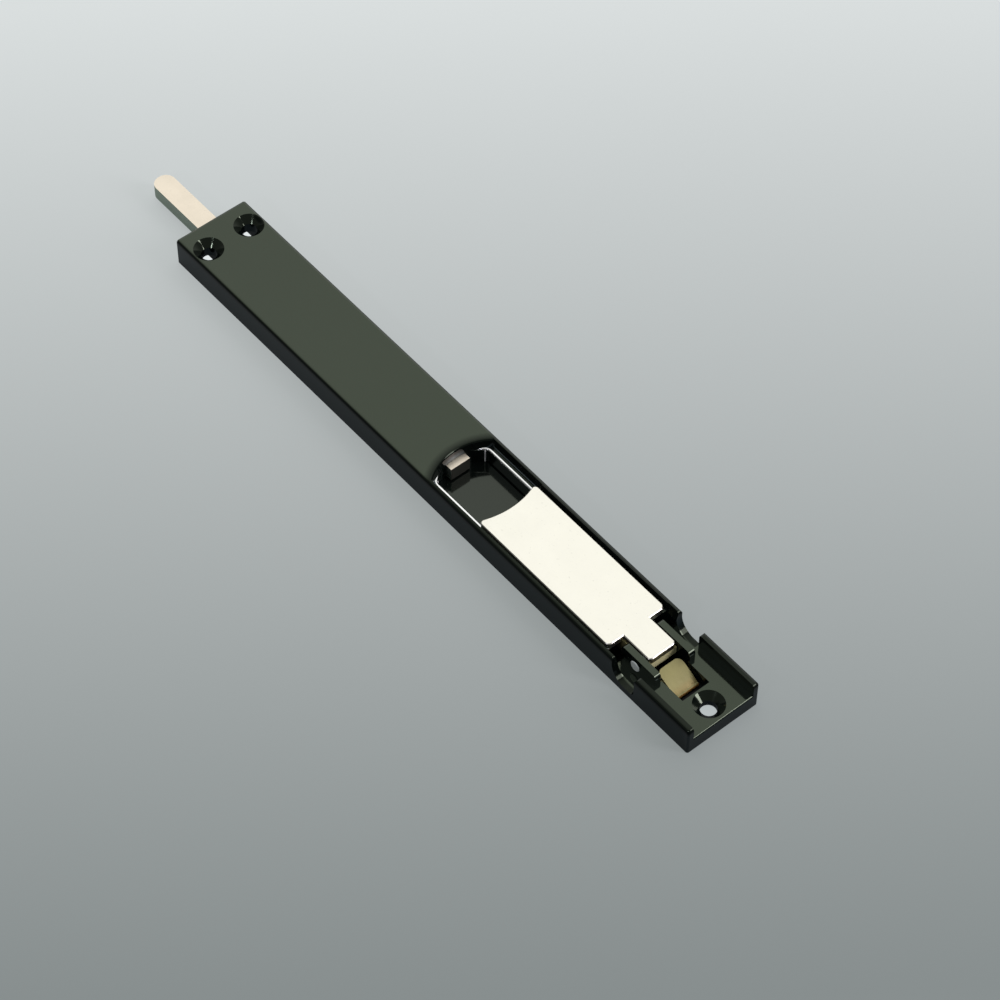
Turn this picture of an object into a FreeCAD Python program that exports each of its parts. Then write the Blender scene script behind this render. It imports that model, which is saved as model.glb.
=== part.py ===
import FreeCAD, Part

import math
import os

from FreeCAD import Vector

# A surface bolt worked by a flush lever, lying on its back face with the bolt thrown.
# Lengths are in millimetres. +X runs towards the bolt's tip and +Z out of the cover.
# Places along the body are counted from the tail end, or from the lever's pivot.

# Body casting
body_length = 196.5
body_width = 22.0
body_height = 8.4
outer_edge_radius = 1.0
body_corner_radius = 0.6
cover_skin = 1.6
side_wall = 2.05
front_wall = 3.0
tail_wall = 1.5

# Lever
lever_width = 17.8
lever_thickness = 1.9
lever_sink = 0.6
finger_reach = 53.7
finger_hollow = 1.4
finger_corner_radius = 1.0
finger_flat = 0.1
shoulder_reach = 6.6
shoulder_corner_radius = 1.3
tongue_width = 8.2
tongue_overhang = 2.7
tongue_corner_radius = 1.0
lever_edge_bevel = 0.2
lever_swing = 90.0

# Pivot and cheeks
pivot_from_tail = 23.9
pivot_height = 4.4
pivot_radius = 1.5
cheek_gap = 9.0
cheek_thickness = 1.7
cheek_front = 4.9
cheek_rear = 7.1
cheek_top = 7.5
cheek_nose_radius = 1.2

# Finger pocket and lever recess
pocket_length = 19.6
pocket_corner = 3.15
pocket_corner_run = 2.5
pocket_corner_radius = 1.5
pocket_edge_radius = 0.5
ledge_width = 1.2
ledge_gap = 0.05
rim_lean = 0.7
end_ledge = 0.35
cover_bevel = 0.95
cover_arc_radius = 16.5
cover_lip_radius = 0.7

# Notches beside the pivot and the tail tray
notch_front = 2.9
notch_rear = 4.9
notch_floor = 1.9
notch_front_radius = 4.6
notch_rear_radius = 1.3
tray_floor = 4.4
tray_wall = 1.7
tray_corner_radius = 0.9
tray_edge_radius = 0.5
opening_from_tail = 9.5
opening_width = 8.4

# Screw holes
screw_hole_radius = 2.1
countersink_radius = 4.0
end_hole_inset = 8.0
end_hole_spacing = 12.85
end_boss_wall = 1.2
end_boss_foot = 3.75
tail_hole_inset = 5.0
tail_slab_foot = 0.9

# Bolt
bolt_travel = 22.3
bolt_flush = 0.1
bolt_width = 5.9
bolt_thickness = 4.0
bolt_tip_radius = 2.8
bolt_tail_show = 1.8
bolt_rib = 1.2

# Back plate
plate_thickness = 0.4
plate_width = 20.0
plate_from_tail = 8.7
plate_front_inset = 18.5
plate_corner_radius = 1.0
plate_rivet_radius = 0.9
plate_rivet_depth = 3.0
plate_rivet_spacing = 13.8
plate_rivet_from_front = 22.3
plate_rivet_past_joggle = 9.2
plate_rivet_from_tail = 13.4
plate_boss_wall = 1.4

# Drive bar
bar_thickness = 0.6
bar_width = 15.4
bar_neck_width = 5.6
bar_neck_length = 28.0
bar_joggle = 1.6
bar_corner_radius = 1.2
bar_end_margin = 2.0
bolt_rivet_radius = 1.0
bolt_rivet_insets = (6.0, 24.0)

# Linkage
crank_reach = 14.8
crank_rise = 0.2
link_length = 13.9
link_swing = 58.5
link_width = 3.0
drive_pin_height = 2.1
drive_pin_radius = 0.8
drive_eye_radius = 1.3
drive_ear_radius = 1.5
link_pin_radius = 0.7
link_eye_radius = 1.1
slot_corner_radius = 0.75

# Lever block
block_width = 8.6
block_reach = 19.4
block_fork_start = 2.9
block_flat = 2.7
block_round = 2.85
block_rivet_radius = 0.8
block_rivet_spacing = 6.0
block_rivet_places = (5.3, 17.4)
block_rivet_bite = 1.3

# Detent leaf
leaf_thickness = 0.6
leaf_width = 7.0
leaf_tip_reach = 4.55
leaf_tip_height = 4.8
leaf_heel_reach = 11.8
leaf_bow = 0.3
leaf_foot_length = 6.6
leaf_corner_radius = 1.6
leaf_rivet_from_heel = 4.6
leaf_rivet_radius = 0.8

# Clearances
slide_gap = 0.1
lever_gap = 0.3
running_gap = 0.05
plate_gap = 0.05
bar_side_gap = 0.3
link_side_gap = 0.1
fork_side_gap = 0.25
pin_end_gap = 0.15
overcut = 1.0

# Places worked out from the sizes above
bolt_out = bolt_travel + bolt_flush
tail_x = -(body_length + bolt_out) / 2
front_x = tail_x + body_length
tip_x = front_x + bolt_out
half_body = body_width / 2
pivot_x = tail_x + pivot_from_tail
lever_top = body_height - lever_sink
lever_foot = lever_top - lever_thickness
ledge_z = lever_foot - ledge_gap
finger_x = pivot_x + finger_reach
shoulder_x = pivot_x + shoulder_reach
wall_x = finger_x + pocket_length
arc_edge_x = wall_x + end_ledge + cover_bevel
arc_x = arc_edge_x - cover_arc_radius
arc_foot_radius = cover_arc_radius - cover_bevel
half_recess = lever_width / 2 + lever_gap
half_pocket = half_recess - ledge_width
half_gap = cheek_gap / 2
half_cheek = half_gap + cheek_thickness
cheek_front_x = pivot_x + cheek_front
cheek_rear_x = pivot_x - cheek_rear
notch_front_x = pivot_x + notch_front
tray_x = pivot_x - notch_rear
opening_x = tail_x + opening_from_tail
half_tray = half_body - tray_wall
cavity_top = body_height - cover_skin
half_cavity = half_body - side_wall
half_guide = bolt_width / 2 + slide_gap
bar_foot = plate_thickness + slide_gap
bar_top = bar_foot + bar_thickness
neck_foot = bar_top
neck_top = neck_foot + bar_thickness
bolt_foot = neck_top
bolt_top = bolt_foot + bolt_thickness
bolt_tail_x = wall_x - bolt_tail_show
rib_foot = bar_top + slide_gap
link_pin_x = pivot_x + crank_reach
link_pin_z = pivot_height + crank_rise
link_tilt = math.asin((link_pin_z - drive_pin_height) / link_length)
drive_pin_x = link_pin_x + link_length * math.cos(link_tilt)
bar_rear_x = drive_pin_x - bar_end_margin
bar_shoulder_x = max(bar_rear_x, cheek_front_x + bolt_travel + bar_side_gap)
bar_end_x = wall_x + bolt_travel
joggle_x = bar_end_x + bar_joggle
neck_end_x = joggle_x + bar_neck_length
half_bar = bar_width / 2
half_bar_channel = half_bar + bar_side_gap
leaf_foot = plate_thickness
leaf_heel_x = pivot_x - leaf_heel_reach
leaf_tip_x = pivot_x - leaf_tip_reach
leaf_rivet_x = leaf_heel_x + leaf_rivet_from_heel


def mid_box(x0, x1, half, z0, z1):
    """A box that is centred on the bolt's own plane."""
    return Part.makeBox(x1 - x0, 2 * half, z1 - z0, Vector(x0, -half, z0))


def post(x, y, z0, z1, radius):
    """An upright cylinder."""
    return Part.makeCylinder(radius, z1 - z0, Vector(x, y, z0), Vector(0, 0, 1))


def taper(x, y, z0, z1, radius0, radius1):
    """An upright cone that goes from one radius to another."""
    return Part.makeCone(radius0, radius1, z1 - z0, Vector(x, y, z0), Vector(0, 0, 1))


def cross_rod(x, z, half, radius):
    """A cylinder across the body, centred on its plane."""
    return Part.makeCylinder(radius, 2 * half, Vector(x, -half, z), Vector(0, 1, 0))


def side_prism(edges, y0, y1):
    """A closed outline of edges in the XZ plane, drawn at y = 0, extruded from y0 to y1."""
    face = Part.Face(Part.Wire(Part.__sortEdges__(edges)))
    face.translate(Vector(0, y0, 0))
    return face.extrude(Vector(0, y1 - y0, 0))


def side_polygon(points, y0, y1):
    """A closed polygon of (x, z) points extruded from y0 to y1."""
    corners = [Vector(x, y0, z) for x, z in points]
    face = Part.Face(Part.makePolygon(corners + corners[:1]))
    return face.extrude(Vector(0, y1 - y0, 0))


def plan_polygon(points, z0, z1):
    """A closed polygon of (x, y) points extruded from z0 to z1."""
    corners = [Vector(x, y, z0) for x, y in points]
    face = Part.Face(Part.makePolygon(corners + corners[:1]))
    return face.extrude(Vector(0, 0, z1 - z0))


def round_upright_edges(shape, places, radius):
    """Fillets the upright edges that stand at the given (x, y) places."""
    picked = []
    for edge in shape.Edges:
        ends = [vertex.Point for vertex in edge.Vertexes]
        if len(ends) != 2 or abs(ends[0].z - ends[1].z) < 1e-6:
            continue
        for x, y in places:
            if all(math.hypot(end.x - x, end.y - y) < 1e-4 for end in ends):
                picked.append(edge)
    return shape.makeFillet(radius, picked)


def edges_at_height(shape, z):
    """The edges that lie wholly in the level plane at z."""
    box_of = [(edge, edge.BoundBox) for edge in shape.Edges]
    return [edge for edge, box in box_of if abs(box.ZMin - z) < 1e-4 and abs(box.ZMax - z) < 1e-4]


def both_sides(shape):
    """The shape together with its mirror image across the body's plane."""
    return shape.fuse(shape.mirror(Vector(0, 0, 0), Vector(0, 1, 0)))


def casting_block():
    """The body's outer form, with rounded upper edges and softened corners."""
    block = mid_box(tail_x, front_x, half_body, 0, body_height)
    corners = [(x, y) for x in (tail_x, front_x) for y in (-half_body, half_body)]
    block = round_upright_edges(block, corners, body_corner_radius)
    return block.makeFillet(outer_edge_radius, edges_at_height(block, body_height))


def cover_hollow():
    """The space under the cover, less the bolt's guide ribs, the end bosses and the rivets' webs."""
    start_x = arc_edge_x + cover_skin
    hollow = mid_box(start_x, front_x - front_wall, half_cavity, 0, cavity_top)
    roof = mid_box(start_x, front_x, half_guide + bolt_rib, bolt_top + slide_gap, body_height)
    rib = mid_box(start_x, front_x, half_guide + bolt_rib, rib_foot, body_height)
    rib = rib.cut(mid_box(start_x - overcut, front_x + overcut, half_guide, 0, bolt_top + slide_gap))
    kept = [roof, rib]
    for y in (-end_hole_spacing / 2, end_hole_spacing / 2):
        x = front_x - end_hole_inset
        kept.append(post(x, y, end_boss_foot, body_height, screw_hole_radius + end_boss_wall))
    half_web = plate_rivet_radius + plate_boss_wall
    for x in plate_rivet_rows():
        web = mid_box(x - half_web, x + half_web, half_body, plate_thickness, body_height)
        kept.append(web.cut(mid_box(x - half_web, x + half_web, half_guide + bolt_rib / 2, 0, body_height)))
    return hollow.cut(kept)


def bolt_windows():
    """The closed window in the front wall and the open one in the pocket's end wall and ledge."""
    front = mid_box(front_x - front_wall - overcut, front_x + overcut, half_guide,
                    bolt_foot - slide_gap, bolt_top + slide_gap)
    end_x = arc_edge_x + cover_skin + overcut
    rear = mid_box(wall_x - overcut, end_x, half_guide, 0, bolt_top + slide_gap)
    notch = mid_box(wall_x - overcut, end_x, half_guide, 0, ledge_z)
    notch = notch.common(post(arc_x, 0, 0, ledge_z, arc_foot_radius))
    corner_x = wall_x - pocket_corner_run - pocket_corner_radius
    under = mid_box(corner_x, end_x, half_bar_channel, 0, rib_foot)
    return [front, rear, notch, under]


def pocket_prism(start_x, z0, z1):
    """The pocket's outline, with two canted and rounded corners, as a prism."""
    canted_x = wall_x - pocket_corner_run
    inner_y = half_pocket - pocket_corner
    outline = [
        (start_x, -half_pocket), (canted_x, -half_pocket), (wall_x, -inner_y),
        (wall_x, inner_y), (canted_x, half_pocket), (start_x, half_pocket),
    ]
    bends = [(canted_x, -half_pocket), (canted_x, half_pocket)]
    return round_upright_edges(plan_polygon(outline, z0, z1), bends, pocket_corner_radius)


def finger_pocket():
    """The deep channel under the lever, open upwards over its whole outline."""
    return pocket_prism(cheek_front_x, 0, body_height)


def pocket_rounding():
    """What the rounded inner edge takes off the ledge, found on a plain slab round the pocket."""
    start_x = cheek_front_x - overcut
    slab_foot = ledge_z - 2 * pocket_edge_radius
    slab = mid_box(cheek_front_x, arc_edge_x, half_body, slab_foot, ledge_z)
    slab = slab.cut(pocket_prism(start_x, slab_foot - overcut, ledge_z + overcut))
    picked = []
    for edge in edges_at_height(slab, ledge_z):
        box = edge.BoundBox
        at_end = box.XMin > wall_x - 1e-4
        outside = max(abs(box.YMin), abs(box.YMax)) > half_pocket + 1e-4
        if not at_end and not outside:
            picked.append(edge)
    waste = slab.cut(slab.makeFillet(pocket_edge_radius, picked))
    behind = mid_box(tail_x, arc_x, half_body, 0, body_height)
    return waste.common(behind.fuse(post(arc_x, 0, 0, body_height, arc_foot_radius)))


def recess_channel(x0, x1):
    """The straight recess, whose walls lean outwards up to the narrow rims."""
    crest = half_recess + rim_lean
    above = body_height + overcut
    points = [(-half_recess, ledge_z), (half_recess, ledge_z), (crest, body_height), (crest, above),
              (-crest, above), (-crest, body_height)]
    corners = [Vector(x0, y, z) for y, z in points]
    face = Part.Face(Part.makePolygon(corners + corners[:1]))
    return face.extrude(Vector(x1 - x0, 0, 0))


def cover_bowl():
    """The round end of the recess: a cone with a rounded lip, turned about an upright axis."""
    lip_z = body_height - cover_lip_radius
    lip_r = cover_arc_radius - cover_lip_radius
    bow = (1 - math.sqrt(0.5)) * cover_lip_radius
    above = body_height + overcut
    foot = Vector(arc_foot_radius, 0, ledge_z)
    lip = Vector(lip_r, 0, lip_z)
    outer = Vector(cover_arc_radius, 0, body_height)
    edges = [
        Part.LineSegment(Vector(0, 0, ledge_z), foot),
        Part.LineSegment(foot, lip),
        Part.Arc(lip, Vector(lip_r + bow, 0, body_height - bow), outer),
        Part.LineSegment(outer, Vector(cover_arc_radius, 0, above)),
        Part.LineSegment(Vector(cover_arc_radius, 0, above), Vector(0, 0, above)),
        Part.LineSegment(Vector(0, 0, above), Vector(0, 0, ledge_z)),
    ]
    profile = Part.Face(Part.Wire([edge.toShape() for edge in edges]))
    bowl = profile.revolve(Vector(0, 0, 0), Vector(0, 0, 1), 360)
    bowl.translate(Vector(arc_x, 0, 0))
    return bowl


def lever_recess():
    """The shallow recess that the lever lies in, ended by the cover's sloping round lip."""
    end = recess_channel(arc_x, arc_edge_x + overcut).common(cover_bowl())
    return recess_channel(tray_x, arc_x).fuse(end)


def side_notch():
    """The dip in both side walls beside the pivot, through which its pin goes in."""
    top = body_height + overcut
    front, rear = notch_front_radius, notch_rear_radius
    bow = 1 - math.sqrt(0.5)
    front_mid = Vector(notch_front_x - bow * front, 0, notch_floor + bow * front)
    rear_mid = Vector(tray_x + bow * rear, 0, notch_floor + bow * rear)
    front_top = Vector(notch_front_x, 0, notch_floor + front)
    front_low = Vector(notch_front_x - front, 0, notch_floor)
    rear_low = Vector(tray_x + rear, 0, notch_floor)
    rear_top = Vector(tray_x, 0, notch_floor + rear)
    lip = tray_corner_radius
    edges = [
        Part.Arc(front_top, front_mid, front_low),
        Part.LineSegment(front_low, rear_low),
        Part.Arc(rear_low, rear_mid, rear_top),
        Part.LineSegment(rear_top, Vector(tray_x, 0, body_height - lip)),
        Part.Arc(Vector(tray_x, 0, body_height - lip),
                 Vector(tray_x - bow * lip, 0, body_height - bow * lip),
                 Vector(tray_x - lip, 0, body_height)),
        Part.LineSegment(Vector(tray_x - lip, 0, body_height), Vector(tray_x - lip, 0, top)),
        Part.LineSegment(Vector(tray_x - lip, 0, top), Vector(notch_front_x + lip, 0, top)),
        Part.LineSegment(Vector(notch_front_x + lip, 0, top), Vector(notch_front_x + lip, 0, body_height)),
        Part.Arc(Vector(notch_front_x + lip, 0, body_height),
                 Vector(notch_front_x + bow * lip, 0, body_height - bow * lip),
                 Vector(notch_front_x, 0, body_height - lip)),
        Part.LineSegment(Vector(notch_front_x, 0, body_height - lip), front_top),
    ]
    outline = [edge.toShape() for edge in edges]
    return side_prism(outline, -half_body - overcut, half_body + overcut)


def tail_tray():
    """The open tray at the tail, its rounded end edge and the leaf's opening in its floor."""
    top = body_height + overcut
    tray = mid_box(tail_x - overcut, tray_x, half_tray, tray_floor, top)
    r = tray_edge_radius
    strip = mid_box(tail_x - overcut, tail_x + r, half_tray, tray_floor - r, tray_floor)
    strip = strip.cut(cross_rod(tail_x + r, tray_floor - r, half_body, r))
    opening = mid_box(opening_x, tray_x, opening_width / 2, 0, tray_floor)
    passage = mid_box(cheek_rear_x, cheek_front_x, half_gap, 0, top)
    recess = mid_box(tail_x + tail_wall, tail_x + plate_from_tail, half_tray, 0, tail_slab_foot)
    return [tray, strip, opening, passage, recess]


def web_hollow():
    """The space beside the cheeks, down to the low web that carries them."""
    return mid_box(tray_x, shoulder_x, half_recess, notch_floor, ledge_z)


def cheeks():
    """The two ears that hold the pivot, with rounded upper corners."""
    cheek = Part.makeBox(cheek_front_x - cheek_rear_x, cheek_thickness, cheek_top - plate_thickness,
                         Vector(cheek_rear_x, half_gap, plate_thickness))
    ends = (cheek_front_x, cheek_rear_x)
    picked = [edge for edge in cheek.Edges if abs(edge.BoundBox.ZMin - cheek_top) < 1e-4
              and any(abs(edge.BoundBox.XMin - x) < 1e-4 and edge.BoundBox.XLength < 1e-4 for x in ends)]
    cheek = cheek.makeFillet(cheek_nose_radius, picked)
    return both_sides(cheek)


def countersunk_hole(x, y, z0, z1):
    """A screw hole from z0 up to z1 with a countersink in its upper face."""
    depth = countersink_radius - screw_hole_radius
    hole = post(x, y, z0 - overcut, z1 + overcut, screw_hole_radius)
    sink = taper(x, y, z1 - depth, z1, screw_hole_radius, countersink_radius)
    mouth = post(x, y, z1, z1 + overcut, countersink_radius)
    return [hole, sink, mouth]


def plate_rivet_rows():
    """The X places of the rows of rivets that hold the back plate."""
    return (front_x - plate_rivet_from_front, joggle_x + plate_rivet_past_joggle,
            tail_x + plate_rivet_from_tail)


def plate_rivet_places():
    """The (x, y) places of those rivets, two in a row."""
    return [(x, side * plate_rivet_spacing / 2) for x in plate_rivet_rows() for side in (-1, 1)]


def make_body():
    """The casting: cover, finger pocket, lever recess, cheeks and tail tray."""
    cuts = [cover_hollow(), finger_pocket(), pocket_rounding(), lever_recess(), side_notch(), web_hollow()]
    cuts += bolt_windows() + tail_tray()
    rebate_x0 = tail_x + plate_from_tail - plate_gap
    rebate_x1 = front_x - plate_front_inset + plate_gap
    cuts.append(mid_box(rebate_x0, rebate_x1, plate_width / 2 + plate_gap, 0, plate_thickness))
    body = casting_block().cut(cuts).fuse(cheeks())
    holes = [cross_rod(pivot_x, pivot_height, half_cheek + overcut, pivot_radius)]
    for y in (-end_hole_spacing / 2, end_hole_spacing / 2):
        holes += countersunk_hole(front_x - end_hole_inset, y, end_boss_foot, body_height)
    holes += countersunk_hole(tail_x + tail_hole_inset, 0, tail_slab_foot, tray_floor)
    for x, y in plate_rivet_places():
        holes.append(post(x, y, plate_thickness, plate_thickness + plate_rivet_depth, plate_rivet_radius))
    return body.cut(holes).removeSplitter()


def make_back_plate():
    """The thin plate that closes the open back, set flush in the casting."""
    x0 = tail_x + plate_from_tail
    x1 = front_x - plate_front_inset
    half = plate_width / 2
    plate = mid_box(x0, x1, half, 0, plate_thickness)
    plate = round_upright_edges(plate, [(x, y) for x in (x0, x1) for y in (-half, half)],
                                plate_corner_radius)
    holes = [post(x, y, 0, plate_thickness, plate_rivet_radius) for x, y in plate_rivet_places()]
    holes.append(post(leaf_rivet_x, 0, 0, plate_thickness, leaf_rivet_radius))
    return plate.cut(holes)


def make_plate_rivet(x, y):
    """A drive rivet, flush with the back."""
    return post(x, y, 0, plate_thickness + plate_rivet_depth, plate_rivet_radius)


def make_bolt():
    """The flat bar with a rounded tip and two rivet holes."""
    bolt = mid_box(bolt_tail_x, tip_x, bolt_width / 2, bolt_foot, bolt_top)
    tip = [(tip_x, -bolt_width / 2), (tip_x, bolt_width / 2)]
    bolt = round_upright_edges(bolt, tip, bolt_tip_radius)
    holes = [post(joggle_x + inset, 0, bolt_foot, bolt_top, bolt_rivet_radius)
             for inset in bolt_rivet_insets]
    return bolt.cut(holes)


def bar_floor():
    """The bar's wide strip, the pocket's floor, and its rear that slides in between the cheeks."""
    floor = mid_box(bar_shoulder_x, bar_end_x, half_bar, bar_foot, bar_top)
    corners = [(x, y) for x in (bar_shoulder_x, bar_end_x) for y in (-half_bar, half_bar)]
    floor = round_upright_edges(floor, corners, bar_corner_radius)
    rear = mid_box(bar_rear_x, bar_end_x, half_gap - bar_side_gap, bar_foot, bar_top)
    return floor.fuse(rear)


def bar_ears():
    """The two ears bent up from the bar, which hold the drive pin."""
    ear_y = link_width / 2 + link_side_gap
    ear_x = drive_pin_x - drive_ear_radius
    ear = Part.makeBox(2 * drive_ear_radius, bar_thickness, drive_pin_height - bar_foot,
                       Vector(ear_x, ear_y, bar_foot))
    centre = Vector(drive_pin_x, ear_y, drive_pin_height)
    dome = Part.makeCylinder(drive_ear_radius, bar_thickness, centre, Vector(0, 1, 0))
    below = Part.makeBox(2 * drive_ear_radius, bar_thickness, bar_foot, Vector(ear_x, ear_y, 0))
    return both_sides(ear.fuse(dome).cut(below))


def bar_neck():
    """The narrow end, lifted by one thickness to run under the bolt."""
    lean = bar_thickness * math.tan(math.atan2(neck_foot - bar_foot, bar_joggle) / 2)
    start_x = bar_end_x - bar_joggle
    outline = [
        (start_x, bar_foot), (bar_end_x, bar_foot), (joggle_x, neck_foot), (neck_end_x, neck_foot),
        (neck_end_x, neck_top), (joggle_x - lean, neck_top), (bar_end_x - lean, bar_top),
        (start_x, bar_top),
    ]
    return side_polygon(outline, -bar_neck_width / 2, bar_neck_width / 2)


def make_drive_bar():
    """The sliding strip: pocket floor, ears for the drive pin and the neck under the bolt."""
    window_x = drive_pin_x + drive_eye_radius + slide_gap
    window = mid_box(bar_rear_x - overcut, window_x, link_width / 2 + link_side_gap, 0, bar_top)
    bar = bar_floor().cut(window).fuse([bar_ears(), bar_neck()])
    holes = [cross_rod(drive_pin_x, drive_pin_height, half_bar, drive_pin_radius)]
    holes += [post(joggle_x + inset, 0, neck_foot, neck_top, bolt_rivet_radius)
              for inset in bolt_rivet_insets]
    return bar.cut(holes).removeSplitter()


def make_bolt_rivet(x):
    """A rivet through the drive bar's neck and the bolt, flush at both ends."""
    return post(x, 0, neck_foot, bolt_top, bolt_rivet_radius)


def make_drive_pin():
    """The pin between the drive bar's ears."""
    half = link_width / 2 + link_side_gap + bar_thickness
    return cross_rod(drive_pin_x, drive_pin_height, half, drive_pin_radius)


def make_link():
    """The link from the drive pin up to the lever block, an eye at each end."""
    half = link_width / 2
    run = Vector(link_pin_x - drive_pin_x, 0, link_pin_z - drive_pin_height)
    lean = math.asin((drive_eye_radius - link_eye_radius) / link_length)
    upper = math.atan2(run.z, run.x) - math.pi / 2 + lean
    lower = math.atan2(run.z, run.x) + math.pi / 2 - lean
    points = []
    for angle in (upper, lower):
        side = (math.cos(angle), math.sin(angle))
        pair = [(drive_pin_x + drive_eye_radius * side[0], drive_pin_height + drive_eye_radius * side[1]),
                (link_pin_x + link_eye_radius * side[0], link_pin_z + link_eye_radius * side[1])]
        points += pair if not points else pair[::-1]
    bar = side_polygon(points, -half, half)
    eyes = [cross_rod(drive_pin_x, drive_pin_height, half, drive_eye_radius),
            cross_rod(link_pin_x, link_pin_z, half, link_eye_radius)]
    link = bar.fuse(eyes)
    holes = [cross_rod(drive_pin_x, drive_pin_height, half + overcut, drive_pin_radius + running_gap),
             cross_rod(link_pin_x, link_pin_z, half + overcut, link_pin_radius)]
    return link.cut(holes).removeSplitter()


def make_link_pin():
    """The pin pressed in the link's upper eye, which rides in the lever block's slots."""
    return cross_rod(link_pin_x, link_pin_z, block_width / 2 - running_gap, link_pin_radius)


def link_pin_sweep():
    """The box that the link pin covers, seen from the lever, while both move at even rates."""
    steps = 90
    along, height = [], []
    for step in range(steps + 1):
        share = step / steps
        swing = math.radians(lever_swing) * share
        tilt = link_tilt + math.radians(link_swing) * share
        x = drive_pin_x - bolt_travel * share - link_length * math.cos(tilt) - pivot_x
        z = drive_pin_height + link_length * math.sin(tilt) - pivot_height
        along.append(math.cos(swing) * x + math.sin(swing) * z)
        height.append(math.cos(swing) * z - math.sin(swing) * x)
    return min(along), max(along), min(height), max(height)


def make_lever_block():
    """The forked brass block: round hub with two flats, pivot bore and the link pin's slots."""
    flat, full = block_flat, block_round
    half_flat = math.sqrt(full * full - flat * flat)
    top = lever_foot - pivot_height
    diagonal = full * math.sqrt(0.5)
    points = {
        "top_rear": (-flat, top), "rear": (-flat, -half_flat), "round": (-diagonal, -diagonal),
        "foot": (-half_flat, -flat), "foot_front": (block_reach, -flat), "top_front": (block_reach, top),
    }
    at = {name: Vector(pivot_x + x, 0, pivot_height + z) for name, (x, z) in points.items()}
    edges = [
        Part.LineSegment(at["top_rear"], at["rear"]).toShape(),
        Part.Arc(at["rear"], at["round"], at["foot"]).toShape(),
        Part.LineSegment(at["foot"], at["foot_front"]).toShape(),
        Part.LineSegment(at["foot_front"], at["top_front"]).toShape(),
        Part.LineSegment(at["top_front"], at["top_rear"]).toShape(),
    ]
    half = block_width / 2
    block = side_prism(edges, -half, half)
    fork_y = link_width / 2 + fork_side_gap
    end_x = pivot_x + block_reach + overcut
    cuts = [mid_box(pivot_x + block_fork_start, end_x, fork_y, 0, lever_foot)]
    low_x, high_x, low_z, high_z = link_pin_sweep()
    room = link_pin_radius + slide_gap
    slot = mid_box(pivot_x + low_x - room, pivot_x + high_x + room, half + overcut,
                   pivot_height + low_z - room, pivot_height + high_z + room)
    across = [edge for edge in slot.Edges if edge.BoundBox.YLength > block_width]
    cuts.append(slot.makeFillet(slot_corner_radius, across))
    cuts.append(cross_rod(pivot_x, pivot_height, half + overcut, pivot_radius + running_gap))
    for x, y in block_rivet_points():
        cuts.append(post(x, y, pivot_height - flat - overcut, lever_foot, block_rivet_radius))
    return block.cut(cuts)


def block_rivet_points():
    """The (x, y) places of the rivets that hold the lever plate."""
    half = block_rivet_spacing / 2
    return [(pivot_x + reach, side * half) for reach in block_rivet_places for side in (-1, 1)]


def make_block_rivet(x, y):
    """A rivet from below, through the block into the lever plate."""
    return post(x, y, pivot_height - block_flat, lever_foot + block_rivet_bite, block_rivet_radius)


def make_lever_plate():
    """The lever's plate: hollowed finger end, square shoulders and a narrow tongue."""
    half = lever_width / 2
    tongue = tongue_width / 2
    rear_x = pivot_x - tongue_overhang
    chord = half - finger_corner_radius - finger_flat
    radius = (chord * chord + finger_hollow * finger_hollow) / (2 * finger_hollow)
    outline = [
        (rear_x, -tongue), (shoulder_x, -tongue), (shoulder_x, -half), (finger_x, -half),
        (finger_x, half), (shoulder_x, half), (shoulder_x, tongue), (rear_x, tongue),
    ]
    plate = plan_polygon(outline, lever_foot, lever_top)
    plate = plate.cut(post(finger_x - finger_hollow + radius, 0, lever_foot, lever_top, radius))
    plate = round_upright_edges(plate, [(finger_x, -half), (finger_x, half)], finger_corner_radius)
    plate = round_upright_edges(plate, [(shoulder_x, -half), (shoulder_x, half)], shoulder_corner_radius)
    plate = round_upright_edges(plate, [(rear_x, -tongue), (rear_x, tongue)], tongue_corner_radius)
    plate = plate.makeChamfer(lever_edge_bevel, edges_at_height(plate, lever_top))
    holes = [post(x, y, lever_foot, lever_foot + block_rivet_bite, block_rivet_radius)
             for x, y in block_rivet_points()]
    return plate.cut(holes)


def make_pivot_pin():
    """The pin through the cheeks, its ends proud and bevelled."""
    pin = cross_rod(pivot_x, pivot_height, half_cheek + pin_end_gap, pivot_radius)
    rims = [edge for edge in pin.Edges if edge.BoundBox.YLength < 1e-4]
    return pin.makeChamfer(pin_end_gap, rims)


def make_detent_leaf():
    """The folded brass leaf: a foot on the back plate, a heel, and a bowed limb up to the hub's rear."""
    thick, half = leaf_thickness, leaf_width / 2
    heel = Vector(leaf_heel_x + thick, 0, leaf_foot + thick)
    low = Vector(heel.x, 0, heel.z + thick)
    tip = Vector(leaf_tip_x, 0, leaf_tip_height)
    along = (tip - low).normalize()
    up = Vector(-along.z, 0, along.x)
    middle = (low + tip) * 0.5 + up * leaf_bow
    under = [point - up * thick for point in (low, middle, tip)]
    edges = [
        Part.Arc(low, middle, tip).toShape(),
        Part.LineSegment(tip, under[2]).toShape(),
        Part.Arc(under[2], under[1], under[0]).toShape(),
        Part.LineSegment(under[0], low).toShape(),
    ]
    limb = side_prism(edges, -half, half)
    foot = mid_box(heel.x, leaf_heel_x + leaf_foot_length, half, leaf_foot, leaf_foot + thick)
    leaf = limb.fuse([foot, cross_rod(heel.x, heel.z, half, thick)])
    top = leaf_tip_height + overcut
    outline = mid_box(leaf_heel_x - overcut, leaf_tip_x + overcut, half, leaf_foot, top)
    leaf = leaf.common(outline.cut(tip_corners()))
    hole = post(leaf_rivet_x, 0, leaf_foot, leaf_foot + thick, leaf_rivet_radius)
    return leaf.cut(hole).removeSplitter()


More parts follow.
